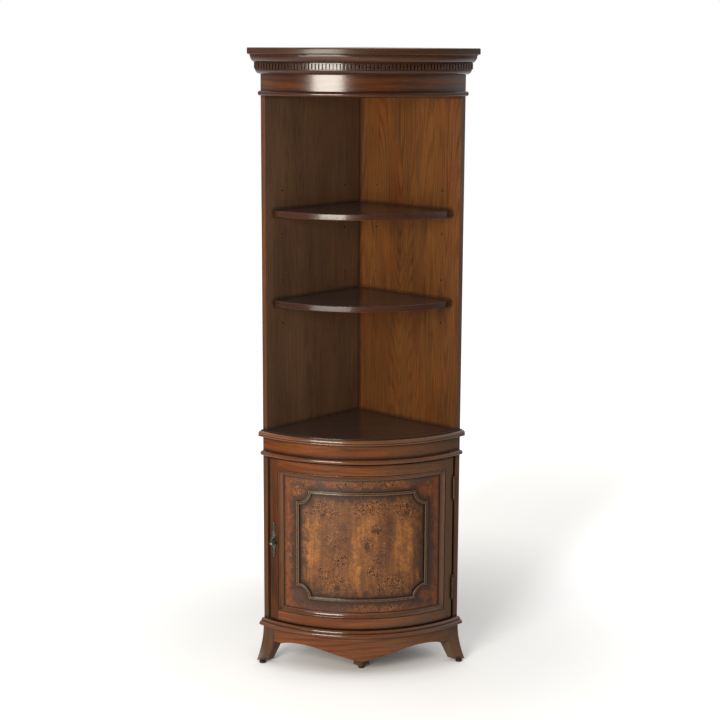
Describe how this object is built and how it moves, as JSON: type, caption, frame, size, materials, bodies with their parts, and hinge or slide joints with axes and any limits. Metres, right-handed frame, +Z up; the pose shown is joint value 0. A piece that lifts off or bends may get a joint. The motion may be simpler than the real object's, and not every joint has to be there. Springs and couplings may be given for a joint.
{
  "type": "corner cabinet",
  "caption": "Bow-front corner cabinet with open shelves over a cupboard, moulded crown, curved burl door and splayed feet.",
  "frame": {"origin": "middle of the footprint's bounding box, on the floor under the glides", "axes": "+Z up, front towards -Y, the two walls meet at the back (+Y) and run at 45 degrees to X"},
  "size_m": [0.7008, 0.4954, 1.9483],
  "materials": {
    "dark_cherry": "satin lacquer over dark cherry stain",
    "burl_veneer": "satin lacquer over burl veneer",
    "secondary_wood": "bare secondary wood",
    "pewter": "antique pewter, dark in the hollows",
    "aged_bronze": "aged bronze",
    "bright_steel": "zinc plated",
    "brown_plastic": "matte brown",
    "black_glide": "matte black"
  },
  "bodies": {
    "cabinet": {"right_side": "dark_cherry", "left_side": "dark_cherry", "top_board": "dark_cherry", "crown_moulding": "dark_cherry", "dentil_moulding": "dark_cherry", "bed_moulding": "dark_cherry", "frieze": "dark_cherry", "frieze_bead": "dark_cherry", "ceiling_board": "dark_cherry", "crown_glue_blocks": "secondary_wood", "lower_shelf": "dark_cherry", "upper_shelf": "dark_cherry", "cupboard_shelf": "dark_cherry", "shelf_supports": "bright_steel", "cupboard_shelf_supports": "bright_steel", "waist_board": "dark_cherry", "waist_rail": "dark_cherry", "waist_bead": "dark_cherry", "cupboard_floor": "dark_cherry", "base_moulding": "dark_cherry", "apron": "dark_cherry", "base_glue_blocks": "secondary_wood", "right_foot": "dark_cherry", "left_foot": "dark_cherry", "centre_foot": "dark_cherry", "rear_foot": "secondary_wood", "glides": "black_glide", "hinge_post": "dark_cherry", "catch_post": "dark_cherry", "hinge_case_leaves": "aged_bronze", "hinge_pins": "aged_bronze", "hinge_case_screws": "aged_bronze", "catch_body": "brown_plastic", "catch_screws": "bright_steel"},
    "door": {"hinge_stile": "dark_cherry", "handle_stile": "dark_cherry", "door_top_rail": "dark_cherry", "door_bottom_rail": "dark_cherry", "door_panel": "burl_veneer", "sticking_right": "dark_cherry", "sticking_left": "dark_cherry", "sticking_top": "dark_cherry", "sticking_bottom": "dark_cherry", "frame_moulding": "dark_cherry", "hinge_door_leaves": "aged_bronze", "hinge_door_screws": "aged_bronze", "strike_plate": "bright_steel", "handle_backplate": "pewter", "handle_post": "pewter", "handle_pin": "pewter", "handle_nut": "bright_steel"},
    "drop": {"handle_drop": "pewter"}
  },
  "joints": [
    {"name": "door_hinge", "type": "hinge", "parent": "cabinet", "child": "door", "pos_m": [0.2926, -0.08615, 0.4135], "axis": [0, 0, 1], "range_deg": [0, 100]},
    {"name": "drop_swing", "type": "hinge", "parent": "door", "child": "drop", "pos_m": [-0.28484, -0.10269, 0.4135], "axis": [-0.776, 0.6307, 0], "range_deg": [-6, 80]}
  ]
}
